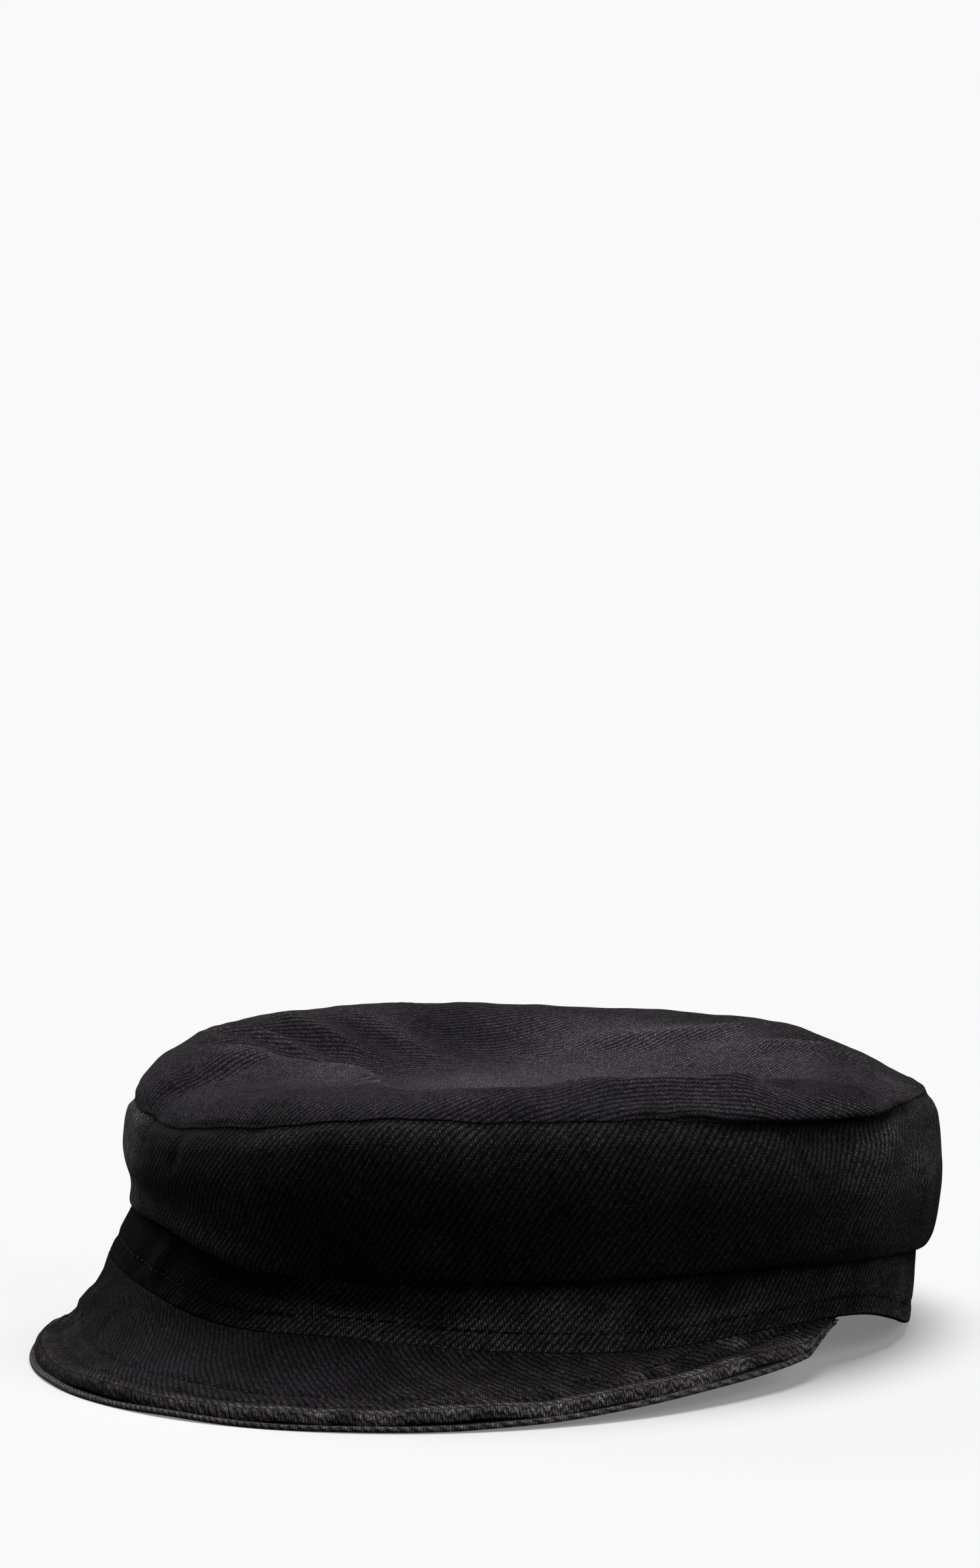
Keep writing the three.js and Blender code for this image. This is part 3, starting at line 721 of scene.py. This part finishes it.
# Folds of the top, at millimetres to the wearer's left and to the back of the hem's middle
TOP_FOLDS = [
    fold([(-62, -64), (-57, -54), (-60, -40)], -2.8, 3.6, start_fade=0.01),
    fold([(-60, -33), (-34, -36), (8, -72)], 3.6, 8, start_fade=0.15, end_fade=0.25),
    fold([(-58, -27), (-34, -30), (-2, -62)], 0.9, 2.2, start_fade=0.15, end_fade=0.35),
    fold([(-72, -20), (-60, -8), (-40, -8)], -1.2, 3.0),
    fold([(-73, -8), (-62, 7), (-42, 6)], 1.7, 2.8),
    fold([(-72, 6), (-60, 17), (-44, 17)], -1.3, 3.0),
    fold([(-70, 18), (-58, 27), (-42, 24)], 1.6, 3.4),
    fold([(-66, 34), (-50, 38), (-34, 36)], -1.0, 3.2),
    fold([(-62, 44), (-50, 48), (-30, 42)], 1.0, 4),
    fold([(-50, 54), (-34, 62), (-8, 60)], -2.4, 12),
    fold([(-14, 66), (10, 70), (34, 84)], 1.8, 4.6),
    fold([(18, 62), (60, 68), (82, 22)], 1.8, 3.4, start_fade=0.3, end_fade=0.1),
    fold([(24, 74), (68, 72), (86, 30)], -1.3, 2.4, start_fade=0.3, end_fade=0.1),
    fold([(10, 52), (44, 52), (64, 20)], -1.5, 6),
    fold([(64, 30), (74, 12), (80, -4)], -2.0, 3.6, start_fade=0.4),
    fold([(26, -66), (62, -70), (74, -26)], 2.2, 5.4, end_fade=0.15),
    fold([(66, -44), (76, -26), (83, -6)], -2.6, 3.2, end_fade=0.05),
    fold([(86, 6), (75, 9), (60, 17)], -1.7, 2.2, start_fade=0.02),
    fold([(88, -2), (76, 2), (62, 8)], 0.9, 2.4, start_fade=0.02),
]


def roll_crease(angle):
    return drawn_at(angle, ROLL_CREASES)


# The face of the top inside its rolled rim, at a share of the way out from the sunk middle
def top_field(angle, share):
    inset = around(CREST_INSET, angle) + pinch(angle)
    crest = on_oval(SEAM_OVAL, angle, -inset, around(CREST_HEIGHT, angle))
    middle = np.array([SEAM_OVAL["to_left"], SEAM_OVAL["to_back"], SUNK_MIDDLE])
    basin, rim = around(BASIN, angle), around(RIM, angle)
    risen = eased((share - basin) / (rim - basin))
    point = middle + (crest - middle) * side_by_side(share, share, risen)
    point[..., 2] += folds_at(point[..., :2], TOP_FOLDS)
    inside = (1 - share) * SEAM_OVAL["half_width"]
    point[..., 2] -= 0.8 * roll_crease(angle) * np.exp(-inside / CREASE_RUN)
    return point


TOP_COLUMNS = 432
ROLL_ROWS = 22
FIELD_ROWS = 74
angles = np.arange(TOP_COLUMNS) * 360 / TOP_COLUMNS
seam = around(SEAM_HEIGHT, angles) + seam_wander(angles) + SEAM_TURN
rise = around(CREST_HEIGHT, angles) - seam
drawn = pinch(angles)
creased = roll_crease(angles)
start = on_oval(SEAM_OVAL, angles, -drawn, seam)
roll = through([
    start,
    on_oval(SEAM_OVAL, angles, around(LIP, angles) - drawn - 0.5 * creased,
            seam + rise * around(LIP_RISE, angles)),
    on_oval(SEAM_OVAL, angles, -around(TOP_SHOULDER, angles) - drawn - creased,
            seam + rise * ROLL_SHOULDER - 0.5 * creased),
    top_field(angles, 1.0),
], np.linspace(0, 1, ROLL_ROWS))
shares = 1 - (np.arange(1, FIELD_ROWS + 1) / (FIELD_ROWS + 1)) ** 0.9
field = np.stack([top_field(angles, share) for share in shares], axis=1)
tucked = turned_in(start, angles, -1)[:, ::-1]
top = np.concatenate([roll, field], axis=1)
from_seam = run_length(top, 1)
shape = uneven_as(top, TOP_UNEVEN)
turn = np.radians(angles)[:, None]
rim_x, rim_y = np.cos(turn) * SEAM_OVAL["half_width"], np.sin(turn) * SEAM_OVAL["half_width"]
pucker_chart = side_by_side(rim_x, rim_y, from_seam * 0.3)
shape += 0.2 * uneven(pucker_chart, 9, 23) * np.exp(-from_seam / 6)
shape += 0.12 * eased(from_seam / 1.2) * (1 - eased((from_seam - 3.5) / 3))
for side_seam in SIDE_SEAMS.values():
    away = round_the_seam(angles, side_seam)[:, None]
    lines = np.sin(2 * np.pi * away / (3.2 + 0.08 * from_seam))
    shape += 0.16 * lines * bell(away, 13) * np.exp(-from_seam / 13)
shape *= eased(from_seam / 2.0)
top = top + outward(top, True) * shape[..., None]
# Worn by the seam and paler over the sunk middle, but less so towards its sides, and kept dark towards the
# wearer's right as painted shade. The ridges of its folds are lighter, partly wear and partly painted
# highlight, and their valleys darker as painted shade; painted shade in the tuck at the left.
to_left = top[..., 0]
wear_and_painted_light = 0.1 * bell(from_seam - 4, 3) * (0.6 + 0.5 * uneven(top, 8, 24))
wear_and_painted_light += 0.56 * eased((from_seam - 18) / 12) * (1 - 0.95 * eased((-to_left - 5) / 40)) * (
    1 - 0.4 * eased((to_left - 30) / 30))
wear_and_painted_light += 0.15 * np.clip(folds_at(top[..., :2], TOP_FOLDS), -1.8, 1.8) * (0.8 + 0.3 * uneven(top, 9, 26))
wear_and_painted_light -= 0.5 * (eased((angles - 44) / 15) * (1 - eased((angles - 92) / 5)))[:, None] * bell(from_seam, 1.6)
top = np.concatenate([tucked, top], axis=1)
top_out = outward(top, True)
thinned = np.concatenate([np.full((TOP_COLUMNS, tucked.shape[1]), SEAM_WALL),
                          np.minimum(CLOTH, SEAM_WALL + 0.3 * from_seam)], axis=1)
inner = top - top_out * thinned[..., None]
edge = (top[:, :1] + inner[:, :1]) / 2
top_sections = np.concatenate([inner[:, ::-1], edge, top], axis=1)
reach = run_length(top[:, ::-1], 1)[:, ::-1]
turn = np.radians(np.append(angles, 360))[:, None]
reach = np.concatenate([reach, reach[:1]], axis=0)
flat_out = np.stack([reach * np.sin(turn), -reach * np.cos(turn)], axis=-1)
top_chart = np.concatenate([flat_out[:, ::-1], flat_out[:, :1], flat_out], axis=1)
blank = np.zeros((TOP_COLUMNS, top_sections.shape[1] - wear_and_painted_light.shape[1]))
top_panel = cloth_piece("top_panel_cloth", top_sections, top_chart, True, False,
                        np.concatenate([blank, wear_and_painted_light], axis=1))
# The top's dyed colour is set about twice as light as the sides', as painted light on its upward face
top_twill = twill("top twill", (0.0275, 0.0254, 0.028), (0.078, 0.073, 0.079),
                  ribs=(1.33, 48), yarns=(0.55, 92), relief=0.34, depth=0.98, sheen=0.005, clouds=22.0)
top_panel.data.materials.append(top_twill)
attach(top_panel, "root")
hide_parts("top_panel")

# Peak
# Two plies of twill over a soft filling, bagged out at the edge, so a groove shows between their rolled
# edges. Two rows of stitches follow the edge, 4.5 and 10.5 mm in, and the cloth puckers between them. Its
# root is sewn inside the band's hem.
PLY = 2.3
UNDER_PLY = 1.2
PLY_GAP = 0.25
END_SLACK = 1.3
CLEAR_OF_FLOOR = 0.1
TOP_ROLL = {"bulge": 0.14, "lean": 0.85}
UNDER_ROLL = {"bulge": 0.35, "lean": 0.35}
UNDER_OUT = 2.1
PEAK_EDGE = {"half_width": 91, "half_length": 113, "to_left": -2, "to_back": -20}
PEAK_RIGHT_END = 88
PEAK_LEFT_END = 84
LEFT_CUT = {"from": 76.5, "rise": 3.9}
RIGHT_CUT = {"from": 78, "rise": 5, "inward": 2.5}
PEAK_HOLLOW = {"left": 1.8, "right": 2.2}
# Columns with a value for every 22 degrees of the peak's edge, from its end at the wearer's right
PEAK_STEP = 22
PEAK_ROOT = (-76, -57, -38, -19, 0, 18, 36, 53.5, 76.5)
PEAK_OUT = (-1.9, -1.7, -1.7, -1.4, -0.5, -0.5, -2.7, -5.7, -5.5)
PEAK_LIFT = (0.7, 0, 0, 0, 0, 0, 2, 4.5, 6)
PEAK_UNEVEN = ({"height": 0.3, "wavelength": 36, "seed": 31}, {"height": 0.12, "wavelength": 12, "seed": 32})
PEAK_STITCHES = {"rows": (4.5, 10.5), "pitch": 2.6, "groove": 0.55, "groove_reach": 0.9}
ROOT_OUT = 0.3
SEWN_IN = ((-0.5, 0.0), (-1.4, -0.1), (-2.2, 0.0), (-2.9, 0.2), (-3.5, 0.7), (-4.0, 1.3))


def along_peak(column, angle):
    values = np.array([column[0], *column, column[-1], column[-1]], float)
    place = (angle + PEAK_RIGHT_END) / PEAK_STEP
    row = np.clip(np.floor(place).astype(int), 0, len(column) - 2)
    near = [values[row + 1 + step] for step in (-1, 0, 1, 2)]
    return spline(*near, place - row)


# The plies are pressed thinner towards the peak's two ends
def pressed(angle):
    from_end = np.clip(np.minimum(angle + PEAK_RIGHT_END, PEAK_LEFT_END - angle) / 12, 0, 1)
    return 0.3 + 0.7 * from_end ** 0.7


# The upper face of the peak, from its edge to its root and on inside the band
def peak_face(angle, shares):
    root_angle = along_peak(PEAK_ROOT, angle)
    hem = hem_height(root_angle)
    root = on_oval(HEM_OVAL, root_angle, ROOT_OUT, hem + 0.35)
    lift = np.maximum(0, along_peak(PEAK_LIFT, angle))
    right_end = np.clip((-angle - RIGHT_CUT["from"]) / (PEAK_RIGHT_END - RIGHT_CUT["from"]), 0, 1) ** 2
    lift += RIGHT_CUT["rise"] * right_end
    lift += LEFT_CUT["rise"] * np.clip((angle - LEFT_CUT["from"]) / (PEAK_LEFT_END - LEFT_CUT["from"]), 0, 1)
    edge = on_oval(PEAK_EDGE, angle, along_peak(PEAK_OUT, angle) - RIGHT_CUT["inward"] * right_end,
                   lift + (PLY + UNDER_PLY) * pressed(angle) + PLY_GAP)
    face = edge[:, None] + (root - edge)[:, None] * shares[None, :, None]
    hollow = PEAK_HOLLOW["left"] + (PEAK_HOLLOW["right"] - PEAK_HOLLOW["left"]) * eased((-angle - 15) / 35)
    face[..., 2] = edge[:, None, 2] + (root - edge)[:, None, 2] * shares[None] ** hollow[:, None]
    sewn_in = [on_oval(HEM_OVAL, root_angle, out, hem + rise) for out, rise in SEWN_IN]
    return np.concatenate([face, np.stack(sewn_in, axis=1)], axis=1)


PEAK_COLUMNS = 420
FACE_ROWS = 54
angles = np.linspace(-PEAK_RIGHT_END, PEAK_LEFT_END, PEAK_COLUMNS)
shares = np.linspace(0, 1, FACE_ROWS) ** 1.3
peak = peak_face(angles, shares)
shares = np.concatenate([shares, np.ones(len(SEWN_IN))])
edge_in = run_length(peak, 1)
edge_run = run_length(peak[:, 0], 0)[:, None]
shape = uneven_as(peak, PEAK_UNEVEN)
for distance in PEAK_STITCHES["rows"]:
    line_depth = bell(edge_in - distance, PEAK_STITCHES["groove_reach"])
    shape -= line_depth * (PEAK_STITCHES["groove"]
                           + 0.12 * np.cos(2 * np.pi * edge_run / PEAK_STITCHES["pitch"]))
# The cloth puffs and puckers between the two rows of stitches and just inside them
between = eased((edge_in - 4.6) / 1.5) * (1 - eased((edge_in - 9.2) / 1.5))
slanted_run = side_by_side(edge_run + 0.7 * edge_in, edge_in * 0.2, 0)
left_half = eased((angles[:, None] - 12) / 25)
shape += between * (0.14 + 0.55 * (0.25 + 0.75 * left_half) * uneven(slanted_run, 7.5, 33))
inner_ripple = eased((edge_in - 10.5) / 1.0) * np.exp(-np.maximum(edge_in - 11, 0) / 5)
shape += 0.26 * inner_ripple * uneven(slanted_run, 8, 34)
# It fans out in creases at the wearer's right, is rolled at its edge, and bends up along a ridge there
right_end = 1 - eased((angles[:, None] + 86) / 34)
fan = np.sin(2 * np.pi * edge_run / 4.4 + 0.25 * edge_in + 1.5 * uneven(slanted_run, 12, 37))
shape += 0.55 * right_end * fan * eased(edge_in / 2) * np.exp(-edge_in / 17)
shape += 0.25 * bell(edge_in - 1.8, 1.6)
bend_at = 0.42 + 0.58 * np.clip((angles[:, None] + PEAK_RIGHT_END) / 46, 0, 1)
bend_fade = 1 - eased((angles[:, None] + 62) / 20)
shape += 1.4 * bend_fade * bell(shares[None] - bend_at, 0.13)
held_at_root = eased((1 - shares[None]) / 0.12)
shape *= held_at_root * pressed(angles)[:, None]
peak_top_face = peak + outward(peak, False) * shape[..., None]
peak_out = outward(peak_top_face, False)


# One ply of the peak as a wall below its upper face, with a rolled edge
def peak_ply(name, face, node, thickness, roll, wear_and_painted_light):
    thickness = thickness * pressed(angles)[:, None]
    sections = walled(face, outward(face, False), thickness, turns=8, bulge=roll["bulge"], lean=roll["lean"])
    rest = sections.shape[1] - peak.shape[1]
    chart = side_by_side(edge_run, -run_length(sections, 1))
    all_wear_and_painted_light = np.concatenate([wear_and_painted_light, np.repeat(wear_and_painted_light[:, :1], rest, axis=1)], axis=1)
    piece = cloth_piece(name, sections[:, ::-1], chart[:, ::-1], False, True, all_wear_and_painted_light[:, ::-1])
    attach(piece, "root")
    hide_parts(node)
    return piece


# Worn at its rolled edge, partly wear and partly painted light on the roll's unlit lower half, and beside its
# stitches and on the puckers between them, most on the wearer's left half. Painted light over the wearer's
# left half, and painted shade behind the ridge at the wearer's right and near the root just right of the
# middle.
wear_and_painted_light = 0.085 * eased((angles[:, None] + 5) / 25)
wear_and_painted_light = wear_and_painted_light + 0.46 * bell(edge_in, 1.7) * (0.3 + eased((angles[:, None] + 35) / 45))
wear_and_painted_light += 0.3 * left_half * between * np.clip(uneven(slanted_run, 8.5, 33), 0, 1)
for distance in PEAK_STITCHES["rows"]:
    wear_and_painted_light = wear_and_painted_light + 0.06 * bell(np.abs(edge_in - distance) - 1.2, 0.6)
wear_and_painted_light = wear_and_painted_light * (0.75 + 0.35 * uneven(peak, 7, 35))
wear_and_painted_light -= 0.42 * (1 - eased((angles[:, None] + 52) / 12)) * eased((shares[None] - bend_at) / 0.12)
wear_and_painted_light -= 0.14 * bell(angles[:, None] + 22, 26) * bell(shares[None] - 0.75, 0.3)
peak_top = peak_ply("peak_top_cloth", peak_top_face, "peak_top", PLY, TOP_ROLL, wear_and_painted_light)
# The peak's dyed colour is set darker than the top panel's, as painted shade from the crown
peak_twill = twill("peak twill", (0.0168, 0.0155, 0.017), (0.16, 0.149, 0.154),
                   ribs=(1.36, 47), yarns=(0.53, 83), relief=0.36, depth=0.98, sheen=0.005, clouds=18.0)
peak_top.data.materials.append(peak_twill)

# The lower ply hangs under the upper one, a little further out at the edge and slack at the wearer's right
under = peak.copy()
under_way = peak[:, :1] - peak[:, 4:5]
under_way[..., 2] = 0
under_way /= np.linalg.norm(under_way, axis=-1, keepdims=True)
under += under_way * (UNDER_OUT * bell(edge_in, 9))[..., None]
slack = END_SLACK * bend_fade * eased(edge_in / 4) * eased((1 - shares[None]) / 0.1)
under[..., 2] -= PLY * pressed(angles)[:, None] + PLY_GAP + slack
under[..., 2] = np.maximum(under[..., 2], (UNDER_PLY + CLEAR_OF_FLOOR) * pressed(angles)[:, None])
under_shape = 0.15 * uneven(under, 30, 36)
under = under + outward(under, False) * (under_shape * held_at_root)[..., None]
peak_under = peak_ply("peak_under_cloth", under, "peak_under", UNDER_PLY, UNDER_ROLL,
                      0.7 * bell(edge_in, 2.4))
under_twill = twill("peak under twill", (0.008, 0.0073, 0.0073), (0.14, 0.128, 0.124),
                    ribs=(1.36, 47), yarns=(0.53, 83), relief=0.26, depth=0.8, sheen=0.08)
peak_under.data.materials.append(under_twill)

for number, distance in enumerate(PEAK_STITCHES["rows"]):
    kept = edge_in[:, FACE_ROWS - 1] > distance + 1
    picked = np.argmin(np.abs(edge_in - distance), axis=1)[kept]
    columns = np.arange(PEAK_COLUMNS)[kept]
    path = peak_top_face[columns, picked] + peak_out[columns, picked] * THREAD["proud"]
    row_of_stitches = stitch_row(f"peak_stitches_{number + 1}", path, peak_out[columns, picked],
                                 PEAK_STITCHES["pitch"], THREAD)
    row_of_stitches.data.materials.append(thread_black)
    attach(row_of_stitches, "root")

# Studio floor
# A plain pale sheet on a light table, so the cap's shadow is weak. The table's glow takes over away from the
# cap, where the shadow fades out, and the sheet throws little light back up under it.
FLOOR = {"shade": 0.64, "glow": 0.179, "open_shade": 0.12, "open_glow": 0.803}
BOUNCE = {"near": 0.03, "open": 0.15, "from": 0.11, "to": 0.15}
SHADOW_OVAL = {"half_width": 0.0909, "half_length": 0.122, "fades_from": 0.97, "fades_to": 1.25}
SHEET = {"side": 9, "far": 30}
side, far = SHEET["side"], SHEET["far"]
floor_mesh = bpy.data.meshes.new("floor")
sheet = [(-side, -side, 0), (side, -side, 0), (side, far, 0), (-side, far, 0)]
floor_mesh.from_pydata(sheet, [], [(0, 1, 2, 3)])
floor = bpy.data.objects.new("floor", floor_mesh)
bpy.context.scene.collection.objects.link(floor)
floor_paint, tree, surface = new_material("floor paint")
looked_at = place_node(tree, "ShaderNodeLightPath").outputs["Is Camera Ray"]
spot = place_node(tree, "ShaderNodeTexCoord").outputs["Object"]
from_cap = place_node(tree, "ShaderNodeVectorMath", {0: spot}, operation="LENGTH").outputs["Value"]
thrown_up = ranged(tree, from_cap, BOUNCE["near"], BOUNCE["open"], BOUNCE["from"], BOUNCE["to"])
in_shadow_oval = place_node(tree, "ShaderNodeVectorMath", {
    0: spot, 1: (1 / SHADOW_OVAL["half_width"], 1 / SHADOW_OVAL["half_length"], 0)}, operation="MULTIPLY")
clear = place_node(tree, "ShaderNodeVectorMath", {0: in_shadow_oval.outputs[0]}, operation="LENGTH")
open_floor = ranged(tree, clear.outputs["Value"], 0.0, 1.0, SHADOW_OVAL["fades_from"],
                    SHADOW_OVAL["fades_to"], interpolation_type="SMOOTHSTEP")
seen_shade = ranged(tree, open_floor, FLOOR["shade"], FLOOR["open_shade"])
seen_glow = ranged(tree, open_floor, FLOOR["glow"], FLOOR["open_glow"])
feed(tree, surface, {
    "Base Color": grey(tree, ranged(tree, looked_at, thrown_up, seen_shade)),
    "Emission Strength": ranged(tree, looked_at, 0.0, seen_glow), "Emission Color": (1, 1, 1, 1),
    "Roughness": 1.0, "Specular IOR Level": 0.0})
floor.data.materials.append(floor_paint)

# Studio light
# A broad soft light high overhead, a little behind the cap, and a weaker soft light low on each side, left
# and right as the camera sees them. Each is far away, so the floor is evenly bright, and its size is the
# angle that it fills.
LIGHTS = {
    "overhead": {"azimuth": -14, "elevation": 76, "fills": 48, "strength": 2.9},
    "left": {"azimuth": -54, "elevation": 26, "fills": 36, "strength": 1.25},
    "right": {"azimuth": 90, "elevation": 32, "fills": 36, "strength": 0.75},
}
ROOM = {"fill": 0.03, "seen": 0.947}
for name, lamp in LIGHTS.items():
    softbox = bpy.data.lights.new(name, "SUN")
    softbox.angle = np.radians(lamp["fills"])
    softbox.energy = lamp["strength"]
    light = bpy.data.objects.new(name, softbox)
    turn, rise = np.radians((lamp["azimuth"], lamp["elevation"]))
    toward = Vector((np.sin(turn) * np.cos(rise), np.cos(turn) * np.cos(rise), np.sin(rise)))
    light.rotation_euler = (-toward).to_track_quat("-Z", "Y").to_euler()
    bpy.context.scene.collection.objects.link(light)

room = bpy.data.worlds.new("studio")
room.use_nodes = True
tree = room.node_tree
looked_at = place_node(tree, "ShaderNodeLightPath").outputs["Is Camera Ray"]
feed(tree, tree.nodes["Background"], {"Strength": ranged(tree, looked_at, ROOM["fill"], ROOM["seen"]),
                                      "Color": (1, 1, 1, 1)})
bpy.context.scene.world = room
bpy.context.scene.view_settings.view_transform = "Standard"

# Camera
# A long lens 1.3 m from the cap, 20 degrees to the wearer's left of its front. It stands about 8 degrees
# above the cap and is tilted down by half of that, so the cap lies low in the picture.
LENS = 135.525
STAND = (0.44153, -1.19849, 0.21093)
TILTED_DOWN = 4.052
TURNED = 20.23
camera_data = bpy.data.cameras.new("camera")
camera_data.sensor_fit = "VERTICAL"
camera_data.sensor_height = 36
camera_data.lens = LENS
camera_data.clip_end = 100
camera = bpy.data.objects.new("camera", camera_data)
camera.location = STAND
camera.rotation_euler = np.radians((90 - TILTED_DOWN, 0, TURNED))
bpy.context.scene.collection.objects.link(camera)
bpy.context.scene.camera = camera
